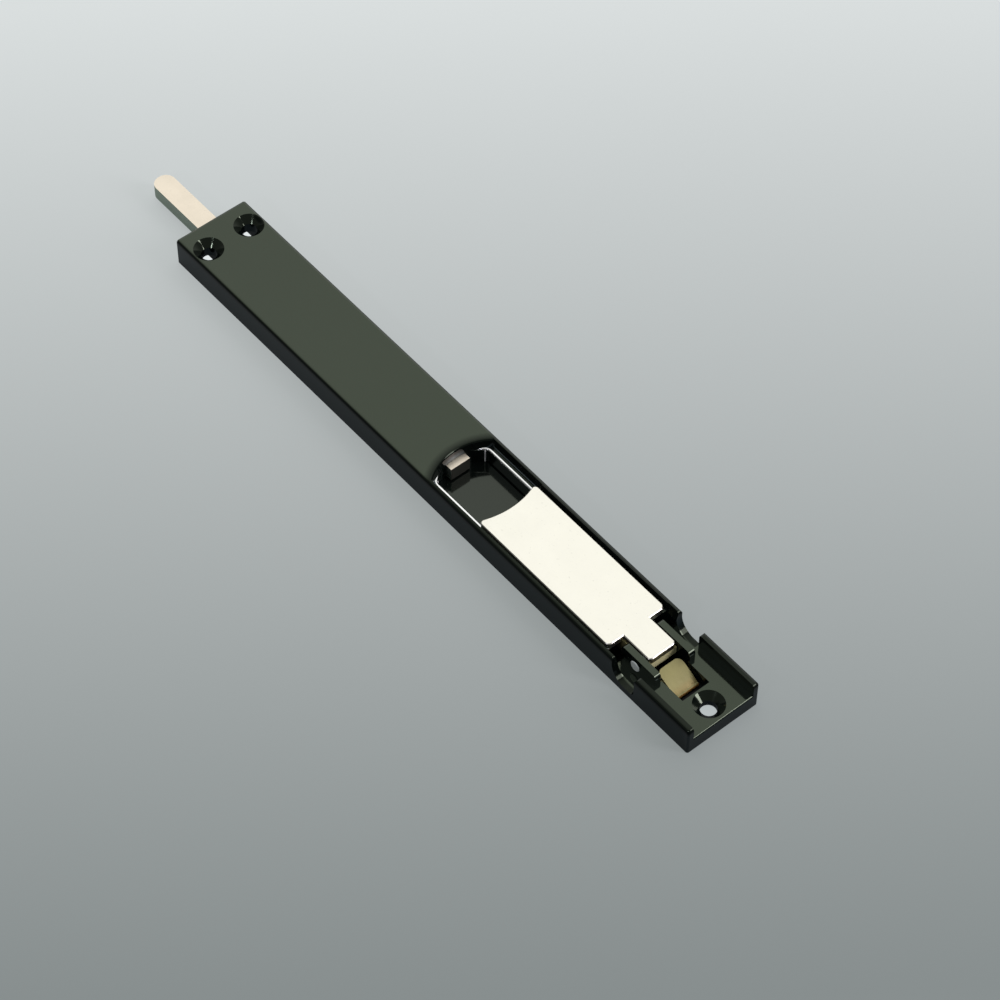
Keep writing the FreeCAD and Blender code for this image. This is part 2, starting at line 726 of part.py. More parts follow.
def tip_corners():
    """What rounds the two corners of the leaf's tip, seen from above."""
    r, half = leaf_corner_radius, leaf_width / 2
    x, y = leaf_tip_x - r, half - r
    corner = Part.makeBox(r + overcut, r + overcut, body_height, Vector(x, y, leaf_foot))
    corner = corner.cut(post(x, y, leaf_foot, leaf_foot + body_height, r))
    return both_sides(corner)


def make_leaf_rivet():
    """The flush rivet that holds the leaf's foot on the back plate."""
    return post(leaf_rivet_x, 0, 0, leaf_foot + leaf_thickness, leaf_rivet_radius)


def make_nodes():
    """Every separate piece by its name."""
    nodes = {
        "body": make_body(),
        "back_plate": make_back_plate(),
        "bolt": make_bolt(),
        "drive_bar": make_drive_bar(),
        "drive_pin": make_drive_pin(),
        "link": make_link(),
        "link_pin": make_link_pin(),
        "lever_block": make_lever_block(),
        "lever_plate": make_lever_plate(),
        "pivot_pin": make_pivot_pin(),
        "detent_leaf": make_detent_leaf(),
        "leaf_rivet": make_leaf_rivet(),
    }
    for number, (x, y) in enumerate(plate_rivet_places(), start=1):
        nodes["plate_rivet_%d" % number] = make_plate_rivet(x, y)
    for number, inset in enumerate(bolt_rivet_insets, start=1):
        nodes["bolt_rivet_%d" % number] = make_bolt_rivet(joggle_x + inset)
    for number, (x, y) in enumerate(block_rivet_points(), start=1):
        nodes["block_rivet_%d" % number] = make_block_rivet(x, y)
    return nodes


def main():
    os.makedirs("parts", exist_ok=True)
    for name, shape in make_nodes().items():
        shape.exportStep("parts/%s.step" % name)
        print("%-16s solids %d volume %9.2f" % (name, len(shape.Solids), shape.Volume))


main()
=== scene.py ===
"""A lever action bolt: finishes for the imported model, its bright pocket edge, and the studio."""

import math
from collections import namedtuple

import bpy
import numpy as np
from mathutils import Matrix, Vector


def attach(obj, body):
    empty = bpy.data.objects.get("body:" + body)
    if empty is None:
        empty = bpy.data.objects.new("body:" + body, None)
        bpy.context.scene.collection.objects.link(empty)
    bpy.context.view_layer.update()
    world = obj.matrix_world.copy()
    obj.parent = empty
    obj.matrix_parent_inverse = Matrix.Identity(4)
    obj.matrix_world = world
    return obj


bl_info = {
    "name": "Lever action bolt",
    "version": (1, 0, 0),
    "blender": (4, 5, 0),
    "location": "3D View > Sidebar > Lever bolt",
    "description": "Finishes a packed lever action bolt and lights it in a plain studio",
    "category": "Object",
}

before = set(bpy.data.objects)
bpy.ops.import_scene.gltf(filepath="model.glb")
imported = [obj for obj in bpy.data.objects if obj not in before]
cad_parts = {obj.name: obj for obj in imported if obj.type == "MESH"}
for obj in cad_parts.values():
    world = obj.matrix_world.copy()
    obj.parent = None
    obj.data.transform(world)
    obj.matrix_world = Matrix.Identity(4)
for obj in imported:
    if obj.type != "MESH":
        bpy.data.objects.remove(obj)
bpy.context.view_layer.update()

MM = 0.001
POCKET_FLOOR = 1.1 * MM

# Enamel: cells of each noise per metre, and the part of the dust's range that shows.
ENAMEL_CLOUD, ENAMEL_DUST, ENAMEL_PEEL = 90, 2600, 700
DUST_SPAN = (0.70, 0.80)

# Satin metal: cells of each noise per metre, and the part of the pits' range that shows.
METAL_CLOUD, METAL_PITS = 160, 1500
PIT_SPAN = (0.66, 0.76)

# The middle of a noise's range, where most of its values lie.
NOISE_SPAN = (0.3, 0.7)

# The Z of a surface's normal, from an upright side to a level face.
LEVEL_SPAN = (0.4, 0.7)

Satin = namedtuple("Satin", "rough grain lines depth mottle metallic")

# Roughness from low to high, share of the grain, grain lines per metre, depth of the relief,
# mottling and metallic share.
METALS = {
    "lever_nickel": Satin((0.26, 0.36), 0.3, 900, 0.006 * MM, 0.04, 1.0),
    # The pin's pale, barely metallic finish is a painted highlight on its ends.
    "pin_end": Satin((0.30, 0.40), 0.3, 900, 0.004 * MM, 0.05, 0.1),
    "bolt_nickel": Satin((0.34, 0.48), 0.5, 600, 0.02 * MM, 0.12, 1.0),
    "dull_brass": Satin((0.42, 0.56), 0.4, 1200, 0.01 * MM, 0.22, 0.3),
    "leaf_brass": Satin((0.45, 0.60), 0.4, 1200, 0.01 * MM, 0.22, 0.5),
    "zinc_plate": Satin((0.24, 0.38), 0.5, 1100, 0.01 * MM, 0.16, 1.0),
    "plate_steel": Satin((0.32, 0.48), 0.5, 900, 0.01 * MM, 0.10, 1.0),
    "rivet_steel": Satin((0.20, 0.32), 0.2, 1500, 0.01 * MM, 0.12, 1.0),
    "bare_edge": Satin((0.18, 0.30), 0.2, 1500, 0.004 * MM, 0.06, 1.0),
    # A pure white, non-metal finish: painted highlight lines down the pocket's corners.
    "corner_highlight_finish": Satin((0.35, 0.50), 0.2, 1500, 0.004 * MM, 0.35, 0.0),
}

# Where each lamp stands, seen from the bolt, in degrees and metres; size is (across, upright).
LAMPS = {
    "tail_lamp": {"azimuth": -147, "height": 29, "distance": 0.9, "size": (0.22, 0.60),
                  "tint": (1.0, 0.93, 1.0)},
    "side_lamp": {"azimuth": 107, "height": 39, "distance": 0.9, "size": (0.15, 0.06),
                  "tint": (0.88, 0.88, 1.0)},
}

# The floor: half its side, its drop under the bolt, how far along the view its colour turns, the
# sideways lean of that turn and the power that bends it.
FLOOR_HALF = 4.0
FLOOR_DROP = 0.05 * MM
FLOOR_REACH = 160 * MM
FLOOR_LEAN = 0.08
FLOOR_CURVE = 1.2


def length(name, text, default):
    """A length in metres, shown in the scene's units."""
    return bpy.props.FloatProperty(name=name, description=text, default=default, unit="LENGTH",
                                   precision=5)


def stretch(name, text, low, high):
    """Two lengths in metres, between which a finish changes."""
    return bpy.props.FloatVectorProperty(name=name, description=text, default=(low, high), size=2,
                                         unit="LENGTH", precision=5)


def angle(name, text, degrees):
    """An angle in radians, shown in the scene's units."""
    return bpy.props.FloatProperty(name=name, description=text, default=math.radians(degrees),
                                   unit="ROTATION")


def share(name, text, default):
    """A plain number from nought to one."""
    return bpy.props.FloatProperty(name=name, description=text, default=default, min=0, max=1,
                                   subtype="FACTOR")


def colour(name, text, default):
    """A linear colour."""
    return bpy.props.FloatVectorProperty(name=name, description=text, default=default, size=3,
                                         min=0, max=1, subtype="COLOR")


def strength(name, text, default):
    """A light's radiance, where 1 is white."""
    return bpy.props.FloatProperty(name=name, description=text, default=default, min=0, precision=3)


class BoltFinishes(bpy.types.PropertyGroup):
    """Colours and gloss of the bolt's finishes."""

    case_black: colour("Case black", "Gloss enamel of the casting", (0.0028, 0.0042, 0.0036))
    case_sheen: colour("Case sheen", "Tint of the enamel's reflection", (0.77, 0.93, 0.68))
    # Side sheen, rim sheen, notch loss and side top paint shade and a colder tint into the casting's
    # reflection.
    side_sheen: colour("Side sheen", "Tint of the reflection on the sides", (0.62, 0.86, 1.0))
    case_gloss: share("Case gloss", "Roughness of the enamel", 0.07)
    rim_share: share("Rim sheen", "Share of the sheen left on the rims and the lip", 0.3)
    notch_loss: share("Notch loss", "Share of the sheen lost in the notches", 0.75)
    side_top: share("Side top", "Share of the sheen left at the top of each side", 0.12)
    bar_black: colour("Bar black", "Blacking of the drive bar", (0.0028, 0.0042, 0.0036))
    bar_sheen: colour("Bar sheen", "Tint of the drive bar's reflection", (0.66, 0.74, 0.62))
    bar_gloss: share("Bar gloss", "Roughness of the drive bar", 0.09)
    nickel: colour("Nickel", "Satin nickel of the lever", (0.765, 0.75, 0.675))
    bolt_nickel: colour("Bolt nickel", "Coarser nickel of the bolt", (0.745, 0.67, 0.56))
    # Painted shade: the bolt's sides get a darker, greener colour for the dim reflection they catch.
    bolt_side_shade: colour("Bolt side", "Greener nickel of the bolt's sides", (0.60, 0.71, 0.60))
    # The bolt's tail end: bare sheared steel, painted darker still as shade for the black floor it
    # reflects.
    cut_end_shade: colour("Cut steel", "Bare sheared end of the bolt", (0.10, 0.10, 0.09))
    brass: colour("Brass", "Dull brass of the hub and the leaf", (0.30, 0.275, 0.118))
    # Painted highlight: the hub's rear face is painted bright brass.
    hub_face_highlight: colour("Faced brass", "Machined face of the hub", (0.86, 0.82, 0.46))
    # Painted light: the leaf's end is painted orange for the warm light it reflects.
    leaf_end_light: colour("Warm brass", "Heat tint of the leaf's end", (0.42, 0.22, 0.06))
    # Painted highlight: the pivot pin is painted a pale cyan white.
    pin_highlight: colour("Pin end", "Bright riveted ends of the pivot pin", (0.92, 1.0, 0.98))
    steel: colour("Zinc", "Zinc plated steel of the pins and rivets", (0.52, 0.54, 0.56))
    rivet_dim: share("Rivet dimming", "Share of the zinc's brightness on the rivets", 0.85)
    plate_black: colour("Plate black", "Blacked inner face of the back plate", (0.012, 0.012, 0.013))
    edge_metal: colour("Edge", "Bare metal along the pocket's edge", (0.86, 0.87, 0.86))
    # Painted highlight: pure white lines down the pocket's corners.
    corner_highlight: colour("Worn line", "Worn lines down the pocket's corners", (1.0, 1.0, 1.0))


class BoltSizes(bpy.types.PropertyGroup):
    """Sizes that the finishes follow, and those of the bright edge round the finger pocket."""

    pocket_half: length("Pocket half width", "From the middle plane to the pocket's wall", 8.0 * MM)
    ledge_height: length("Ledge height", "The lever's ledge above the back", 5.85 * MM)
    edge_radius: length("Edge radius", "Rounding between the ledge and the pocket's wall", 0.5 * MM)
    edge_land: length("Edge land", "Width of the bare land on the ledge", 0.30 * MM)
    edge_proud: length("Edge proud", "How far the bright edge stands off the casting", 0.045 * MM)
    edge_depth: length("Edge depth", "Thickness of the bright edge", 0.08 * MM)
    arc_x: length("Arc centre", "Centre of the cover's arc along the bolt", -27.45 * MM)
    arc_radius: length("Arc radius", "Radius of the cover's arc", 16.5 * MM)
    wall_x: length("End wall", "The pocket's end wall along X", -12.25 * MM)
    shoulder_x: length("Edge start", "Start of the edge beside the lever's shoulders", -78.6 * MM)
    corner_run: length("Corner run", "Length of the canted corner along X", 2.5 * MM)
    corner_rise: length("Corner width", "Length of the canted corner across the pocket", 3.15 * MM)
    corner_radius: length("Corner radius", "Rounding of the canted corner", 1.5 * MM)
    line_width: length("Corner line", "Width of the line down the pocket's corner", 0.38 * MM)
    line_turn: share("Corner line turn", "How far round the rounded corner the line lies", 0.9)
    # The spans over which the painted shade in the casting's sheen begins and ends.
    lip_fade: length("Lip fade", "Width over which the sheen returns behind the lip", 1.7 * MM)
    rim_fade: stretch("Rim fade", "X over which the rims' sheen returns", -22 * MM, -15 * MM)
    top_fade: stretch("Top fade", "Height at which the rims begin", 8.0 * MM, 8.2 * MM)
    notch_fade: stretch("Notch fade", "Distance from the middle to the notches", 9.2 * MM, 9.6 * MM)
    side_fade: stretch("Side fade", "Height over which the sides' sheen goes", 6.4 * MM, 7.3 * MM)
    window_x: length("Window middle", "Middle of the bright floor under the case", -11.2 * MM)
    window_length: length("Window length", "Half length of that floor", 97.5 * MM)
    window_width: length("Window width", "Half width of that floor", 10.5 * MM)


class BoltStudio(bpy.types.PropertyGroup):
    """Camera, lamps and floor."""

    lens: bpy.props.FloatProperty(name="Lens", description="Focal length", default=122.66,
                                  unit="CAMERA")
    distance: length("Distance", "From the camera to the point that it looks at", 829.9 * MM)
    azimuth: angle("Azimuth", "Camera's turn about Z", 229.549)
    elevation: angle("Elevation", "Camera's height", 52.292)
    roll: angle("Roll", "Camera's roll", 0.710)
    aim_x: length("Aim X", "Point that the camera looks at", -25.30 * MM)
    aim_y: length("Aim Y", "Point that the camera looks at", -3.16 * MM)
    sky: strength("Sky", "Radiance of the broad overhead light", 1.30)
    surround: strength("Surround", "Radiance of the dim room", 0.16)
    sky_edge: share("Sky edge", "Cosine at which the overhead light begins", 0.30)
    sky_core: share("Sky core", "Cosine at which the overhead light is full", 0.92)
    room_tint: colour("Room tint", "Colour of the room's light", (1.0, 1.0, 0.98))
    tail_lamp: strength("Tail lamp", "Radiance of the upright lamp behind the tail", 9.0)
    side_lamp: strength("Side lamp", "Radiance of the small lamp at the side", 22.0)
    floor_far: colour("Floor far", "Floor colour at the picture's top", (0.724, 0.763, 0.763))
    floor_near: colour("Floor near", "Floor colour at the picture's foot", (0.242, 0.270, 0.270))
    floor_glow: share("Floor glow", "Share of the floor's colour that no shadow reaches", 0.7)
    mirror_glow: share("Mirror glow", "Share of that glow in reflections", 0.2)
    hole_glow: share("Hole glow", "More of that glow under the case", 0.95)


def new_material(name):
    """An empty node material with its output and a Principled shader."""
    material = bpy.data.materials.new(name)
    material.use_nodes = True
    tree = material.node_tree
    tree.nodes.clear()
    out = tree.nodes.new("ShaderNodeOutputMaterial")
    shader = tree.nodes.new("ShaderNodeBsdfPrincipled")
    tree.links.new(shader.outputs["BSDF"], out.inputs["Surface"])
    return material, tree, shader


def find_node(tree, kind):
    """The tree's only node of a kind."""
    return next(node for node in tree.nodes if node.bl_idname == kind)


def object_position(tree, scale=(1, 1, 1)):
    """Object coordinates, stretched by a scale."""
    place = tree.nodes.new("ShaderNodeTexCoord")
    mapping = tree.nodes.new("ShaderNodeMapping")
    mapping.inputs["Scale"].default_value = scale
    tree.links.new(place.outputs["Object"], mapping.inputs["Vector"])
    return mapping.outputs["Vector"]


def axes_of(tree, output):
    """The X, Y and Z of a texture coordinate: its Object position or its Normal."""
    place = tree.nodes.new("ShaderNodeTexCoord")
    parts = tree.nodes.new("ShaderNodeSeparateXYZ")
    tree.links.new(place.outputs[output], parts.inputs["Vector"])
    return parts.outputs


def along(tree, output, direction):
    """How far a texture coordinate reaches along a direction: their dot product."""
    place = tree.nodes.new("ShaderNodeTexCoord")
    dot = tree.nodes.new("ShaderNodeVectorMath")
    dot.operation = "DOT_PRODUCT"
    dot.inputs[1].default_value = direction
    tree.links.new(place.outputs[output], dot.inputs[0])
    return dot.outputs["Value"]


def noise(tree, vector, scale, detail, roughness=0.55):
    """A noise value from nought to one."""
    node = tree.nodes.new("ShaderNodeTexNoise")
    node.inputs["Scale"].default_value = scale
    node.inputs["Detail"].default_value = detail
    node.inputs["Roughness"].default_value = roughness
    tree.links.new(vector, node.inputs["Vector"])
    return node.outputs["Fac"]


def spread(tree, value, span, result=(0.0, 1.0), shape="LINEAR"):
    """Maps a value from one span to another, held at both ends."""
    node = tree.nodes.new("ShaderNodeMapRange")
    node.interpolation_type = shape
    for side, source, target in (("Min", span[0], result[0]), ("Max", span[1], result[1])):
        node.inputs["From " + side].default_value = source
        node.inputs["To " + side].default_value = target
    tree.links.new(value, node.inputs["Value"])
    return node.outputs["Result"]


def maths(tree, kind, *values):
    """One Math node over one or two values, each a socket or a number."""
    node = tree.nodes.new("ShaderNodeMath")
    node.operation = kind
    for index, value in enumerate(values):
        if isinstance(value, bpy.types.NodeSocket):
            tree.links.new(value, node.inputs[index])
        else:
            node.inputs[index].default_value = value
    return node.outputs["Value"]


def within(tree, value, middle, half):
    """One where a value lies within a half width of its middle, and nought elsewhere."""
    away = maths(tree, "ABSOLUTE", maths(tree, "SUBTRACT", value, middle))
    return maths(tree, "LESS_THAN", away, half)


def blend(tree, factor, first, second):
    """Mixes two colours by a factor; each colour is a socket or three numbers."""
    node = tree.nodes.new("ShaderNodeMix")
    node.data_type = "RGBA"
    tree.links.new(factor, node.inputs["Factor"])
    for socket, value in ((node.inputs["A"], first), (node.inputs["B"], second)):
        if isinstance(value, bpy.types.NodeSocket):
            tree.links.new(value, socket)
        else:
            socket.default_value = (*value, 1.0)
    return node.outputs["Result"]


def shade(tree, factor, tint):
    """A colour times a factor that is a socket."""
    return blend(tree, factor, (0.0, 0.0, 0.0), tint)


def dim(tint, factor):
    """A colour times a factor that is a number."""
    return tuple(channel * factor for channel in tint)


def relief(tree, shader, height, depth, amount):
    """Bump of a height field, with the depth in metres."""
    bump = tree.nodes.new("ShaderNodeBump")
    bump.inputs["Strength"].default_value = amount
    bump.inputs["Distance"].default_value = depth
    tree.links.new(height, bump.inputs["Height"])
    tree.links.new(bump.outputs["Normal"], shader.inputs["Normal"])


def enamel(name, tint, sheen, gloss):
    """Gloss black enamel: a faint orange peel, cloudy gloss and specks of dust.

    The sheen tints what the enamel reflects.
    """
    material, tree, shader = new_material(name)
    place = object_position(tree)
    cloud = noise(tree, place, ENAMEL_CLOUD, 4)
    specks = spread(tree, noise(tree, place, ENAMEL_DUST, 1), DUST_SPAN)
    base = blend(tree, cloud, dim(tint, 0.75), dim(tint, 1.3))
    base = blend(tree, maths(tree, "MULTIPLY", specks, 0.25), base, dim(tint, 6.0))
    tree.links.new(base, shader.inputs["Base Color"])
    rough = spread(tree, cloud, NOISE_SPAN, (gloss * 0.8, gloss * 1.5))
    rough = maths(tree, "ADD", rough, maths(tree, "MULTIPLY", specks, 0.08))
    tree.links.new(rough, shader.inputs["Roughness"])
    shader.inputs["IOR"].default_value = 1.6
    shader.inputs["Specular Tint"].default_value = (*sheen, 1.0)
    relief(tree, shader, noise(tree, place, ENAMEL_PEEL, 2), 0.02 * MM, 0.12)
    return material


def shade_case_sheen(material, look, sizes):
    """Paints shade into the casting's sheen along its edges.

    The rims beside the lever, the notches in them and the cover's lip, which starts at the arc's
    radius, reflect less than the cover, and so does the top of each side: painted shade in the
    reflection. The sides have a colder sheen than the top, a painted tint of their reflection.
    """
    tree = material.node_tree
    place, facing = axes_of(tree, "Object"), axes_of(tree, "Normal")
    ahead = maths(tree, "SUBTRACT", place["X"], sizes.arc_x)
    square = maths(tree, "ADD", maths(tree, "MULTIPLY", ahead, ahead),
                   maths(tree, "MULTIPLY", place["Y"], place["Y"]))
    lip = spread(tree, maths(tree, "SQRT", square),
                 (sizes.arc_radius, sizes.arc_radius + sizes.lip_fade), (look.rim_share, 1.0))
    rim = spread(tree, place["X"], sizes.rim_fade, (look.rim_share, 1.0))
    high = spread(tree, place["Z"], sizes.top_fade)
    # How much sheen the rims and the lip lose: painted shade.
    bare = maths(tree, "SUBTRACT", 1.0, maths(tree, "MINIMUM", lip, rim))
    beside = spread(tree, maths(tree, "ABSOLUTE", place["Y"]), sizes.notch_fade,
                    (0.0, look.notch_loss))
    notch = maths(tree, "MULTIPLY", beside, maths(tree, "SUBTRACT", 1.0, high))
    shade_amount = maths(tree, "MAXIMUM", maths(tree, "MULTIPLY", high, bare), notch)
    top = shade(tree, maths(tree, "SUBTRACT", 1.0, shade_amount), look.case_sheen)
    side = shade(tree, spread(tree, place["Z"], sizes.side_fade, (1.0, look.side_top)),
                 look.side_sheen)
    level = spread(tree, maths(tree, "ABSOLUTE", facing["Z"]), LEVEL_SPAN)
    shader = find_node(tree, "ShaderNodeBsdfPrincipled")
    tree.links.new(blend(tree, level, side, top), shader.inputs["Specular Tint"])


def satin_metal(name, tint):
    """Satin metal from the table: cloudy mottling, drawn grain along X and small pits."""
    metal = METALS[name]
    material, tree, shader = new_material(name)
    place = object_position(tree)
    drawn = object_position(tree, (0.08, 1.0, 1.0))
    cloud = noise(tree, place, METAL_CLOUD, 5, 0.6)
    lines = noise(tree, drawn, metal.lines, 3, 0.6)
    pits = spread(tree, noise(tree, place, METAL_PITS, 2), PIT_SPAN)
    base = blend(tree, spread(tree, cloud, NOISE_SPAN), dim(tint, 1.0 - metal.mottle), tint)
    base = blend(tree, maths(tree, "MULTIPLY", pits, 0.35), base, dim(tint, 0.6))
    tree.links.new(base, shader.inputs["Base Color"])
    shader.inputs["Metallic"].default_value = metal.metallic
    rough = maths(tree, "ADD", maths(tree, "MULTIPLY", cloud, 0.5),
                  maths(tree, "MULTIPLY", lines, 0.5))
    tree.links.new(spread(tree, rough, NOISE_SPAN, metal.rough), shader.inputs["Roughness"])
    height = maths(tree, "SUBTRACT", maths(tree, "MULTIPLY", lines, metal.grain), pits)
    relief(tree, shader, height, metal.depth, 0.5)
    return material


def tint_face(material, axis, span, tint):
    """Turns the colour to another as the surface's normal along an axis crosses a span."""
    tree = material.node_tree
    shader = find_node(tree, "ShaderNodeBsdfPrincipled")
    plain = shader.inputs["Base Color"].links[0].from_socket
    mask = spread(tree, axes_of(tree, "Normal")[axis], span)
    tree.links.new(blend(tree, mask, plain, tint), shader.inputs["Base Color"])


def paint_node(name, material):
    """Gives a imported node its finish."""
    mesh = bpy.data.objects[name].data
    mesh.materials.clear()
    mesh.materials.append(material)


def paint_row(prefix, material):
    """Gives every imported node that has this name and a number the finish."""
    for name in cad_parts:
        if name.rstrip("0123456789") == prefix + "_":
            paint_node(name, material)


def grid_mesh(name, points):
    """A closed mesh over a grid of points (path, profile, 3).

    Point (i, j) joins (i + 1, j) and (i, j + 1); the profile is closed by joining its last point to
    its first, and the two ends of the path are closed by one face each.
    """
    rows, columns = points.shape[:2]
    here = np.arange(rows * columns).reshape(rows, columns)
    beside = np.roll(here, -1, axis=1)
    quads = np.stack([here[:-1], beside[:-1], beside[1:], here[1:]], axis=-1).reshape(-1, 4)
    ends = [here[0, ::-1].tolist(), here[-1].tolist()]
    mesh = bpy.data.meshes.new(name)
    mesh.from_pydata(points.reshape(-1, 3), [], quads.tolist() + ends)
    mesh.update()
    return mesh


def add_piece(name, points, material):
    """Puts a closed mesh over a grid of points in the scene, as a piece of the casting."""
    mesh = grid_mesh(name, points)
    piece = bpy.data.objects.new(name, mesh)
    bpy.context.scene.collection.objects.link(piece)
    mesh.materials.append(material)
    mesh.polygons.foreach_set("use_smooth", [True] * len(mesh.polygons))
    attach(piece, "housing")


def other_side(points):
    """The same points on the other side of the middle plane."""
    return points * np.array([1.0, -1.0, 1.0])


def rounded_path(corners, radii, steps=10):
    """A path of straight runs with rounded corners, and the normal to its left at each point.

    At a corner the path leaves its run at r tan(turn / 2) from the corner and follows an arc of
    radius r about the centre that lies r to the inner side of both runs.
    """
    corners = np.array(corners, float)
    runs = np.diff(corners, axis=0)
    runs /= np.linalg.norm(runs, axis=1)[:, None]
    points, normals = [corners[0]], [np.array([-runs[0, 1], runs[0, 0]])]
    for corner, before, after, radius in zip(corners[1:-1], runs[:-1], runs[1:], radii):
        turn = math.atan2(before[0] * after[1] - before[1] * after[0], before @ after)
        side = math.copysign(1, turn)
        left = np.array([-before[1], before[0]])
        start = corner - before * radius * math.tan(abs(turn) / 2)
        centre = start + left * radius * side
        swing = turn * np.linspace(0, 1, steps)
        spun = np.stack([np.cos(swing) * left[0] - np.sin(swing) * left[1],
                         np.sin(swing) * left[0] + np.cos(swing) * left[1]], axis=-1)
        points += list(centre - spun * radius * side)
        normals += list(spun)
    points.append(corners[-1])
    normals.append(np.array([-runs[-1, 1], runs[-1, 0]]))
    return np.array(points), np.array(normals)


def carried_profile(points, normals, across, height):
    """The profile (across, height) carried along a level path: point + normal * across, at height."""
    level = points[:, None, :] + normals[:, None, :] * across[None, :, None]
    rise = np.broadcast_to(height[None, :, None], (*level.shape[:2], 1))
    return np.concatenate([level, rise], axis=-1)


def pocket_outline(sizes):
    """The plan of the pocket's right side: along the wall, then over the canted corner."""
    half = sizes.pocket_half
    return [(sizes.shoulder_x, -half), (sizes.wall_x - sizes.corner_run, -half),
            (sizes.wall_x, -half + sizes.corner_rise)]


def edge_profile(sizes, steps=8):
    """A thin quarter ring and a level land: out from the wall up to the ledge, and back inside."""
    quarter = np.linspace(0, math.pi / 2, steps)
    outer, inner = sizes.edge_radius + sizes.edge_proud, sizes.edge_radius - sizes.edge_depth
    radius = np.concatenate([np.full(steps + 1, outer), np.full(steps + 1, inner)])
    swing = np.concatenate([quarter, quarter[-1:], quarter[-1:], quarter[::-1]])
    land = np.concatenate([np.zeros(steps), np.full(2, sizes.edge_land), np.zeros(steps)])
    across = sizes.edge_radius + land - radius * np.cos(swing)
    height = sizes.ledge_height - sizes.edge_radius + radius * np.sin(swing)
    return across, height


def pocket_edge(sizes, material):
    """The bright edge of the finger pocket on both sides, up to the end wall."""
    across, height = edge_profile(sizes)
    points, normals = rounded_path(pocket_outline(sizes), [sizes.corner_radius])
    right = carried_profile(points, -normals, across, height)
    add_piece("pocket_edge_right", right[:, ::-1], material)
    add_piece("pocket_edge_left", other_side(right), material)


def corner_lines(sizes, material, steps=12):
    """The narrow painted highlight line down each corner of the pocket.

    A bead along Z, half sunk in the wall: middle + width / 2 * (cos a, sin a) in plan. The middle
    lies on the rounded corner, a share of the way round to the canted wall.
    """
    turn = math.atan2(sizes.corner_rise, sizes.corner_run)
    bend = np.array([sizes.wall_x - sizes.corner_run, -sizes.pocket_half])
    inward = np.array([-math.sin(turn / 2), math.cos(turn / 2)])
    centre = bend + inward * sizes.corner_radius / math.cos(turn / 2)
    towards = turn * sizes.line_turn - math.pi / 2
    middle = centre + sizes.corner_radius * np.array([math.cos(towards), math.sin(towards)])
    swing = np.linspace(0, 2 * math.pi, steps, endpoint=False)
    ring = middle + sizes.line_width / 2 * np.stack([np.cos(swing), np.sin(swing)], axis=-1)
    heights = np.linspace(POCKET_FLOOR, sizes.ledge_height - sizes.edge_radius, steps)
    level = np.broadcast_to(ring[None], (steps, steps, 2))
    rise = np.broadcast_to(heights[:, None, None], (steps, steps, 1))
    right = np.concatenate([level, rise], axis=-1)
    add_piece("corner_line_right", right, material)
    add_piece("corner_line_left", other_side(right)[:, ::-1], material)


def camera_axes(studio):
    """The camera's right, up and backward axes from its turn, height and roll."""
    flat = math.cos(studio.elevation)
    back = Vector((math.sin(studio.azimuth) * flat, -math.cos(studio.azimuth) * flat,
                   math.sin(studio.elevation)))
    right = (-back).cross(Vector((0, 0, 1))).normalized()
    up = right.cross(-back)
    cos_roll, sin_roll = math.cos(studio.roll), math.sin(studio.roll)
    return right * cos_roll + up * sin_roll, up * cos_roll - right * sin_roll, back


def place_camera(scene, studio):
    """The camera at the photograph's viewing angle."""
    data = bpy.data.cameras.new("camera")
    data.lens = studio.lens
    data.sensor_width = 36.0
    data.sensor_fit = "HORIZONTAL"
    data.clip_start, data.clip_end = 0.01, 50.0
    camera = bpy.data.objects.new("camera", data)
    right, up, back = camera_axes(studio)
    place = Vector((studio.aim_x, studio.aim_y, 0)) + back * studio.distance
    turn = Matrix((right, up, back)).transposed().to_4x4()
    camera.matrix_world = Matrix.Translation(place) @ turn
    scene.collection.objects.link(camera)
    scene.camera = camera


def mirror_direction(studio):
    """Where a level mirror sends the camera's view."""
    back = camera_axes(studio)[2]
    return Vector((-back.x, -back.y, back.z))


def light_room(scene, studio):
    """A dim room with one broad soft light round the mirror direction.

    Radiance = surround + (sky - surround) * s, where s rises smoothly from 0 to 1 with the cosine of
    the angle to the light's middle.
    """
    world = bpy.data.worlds.new("studio")
    world.use_nodes = True
    tree = world.node_tree
    tree.nodes.clear()
    out = tree.nodes.new("ShaderNodeOutputWorld")
    background = tree.nodes.new("ShaderNodeBackground")
    cosine = along(tree, "Generated", mirror_direction(studio))
    radiance = spread(tree, cosine, (studio.sky_edge, studio.sky_core),
                      (studio.surround, studio.sky), "SMOOTHSTEP")
    tree.links.new(radiance, background.inputs["Strength"])
    background.inputs["Color"].default_value = (*studio.room_tint, 1.0)
    tree.links.new(background.outputs["Background"], out.inputs["Surface"])
    scene.world = world


def strip_light(name, radiance, azimuth, height, distance, size, tint):
    """A rectangular lamp of a given radiance that faces the bolt."""
    data = bpy.data.lights.new(name, "AREA")
    data.shape = "RECTANGLE"
    data.size, data.size_y = size
    data.energy = radiance * math.pi * size[0] * size[1]
    data.color = tint
    lamp = bpy.data.objects.new(name, data)
    turn, rise = math.radians(azimuth), math.radians(height)
    back = Vector((math.cos(turn) * math.cos(rise), math.sin(turn) * math.cos(rise),
                   math.sin(rise)))
    right = Vector((0, 0, 1)).cross(back).normalized()
    facing = Matrix((right, back.cross(right), back)).transposed().to_4x4()
    lamp.matrix_world = Matrix.Translation(back * distance) @ facing
    bpy.context.scene.collection.objects.link(lamp)


def floor_turn(tree, studio):
    """How far the floor's colour has turned from near to far: t to the power of the floor's curve.

    Here t rises from 0 to 1 along the view over the floor, with a slight lean to the side.
    """
    right, _, back = camera_axes(studio)
    ahead = Vector((-back.x, -back.y, 0)).normalized()
    level = Vector((right.x, right.y, 0)).normalized()
    reach = along(tree, "Object", ahead - level * FLOOR_LEAN)
    return maths(tree, "POWER", spread(tree, reach, (-FLOOR_REACH, FLOOR_REACH)), FLOOR_CURVE)


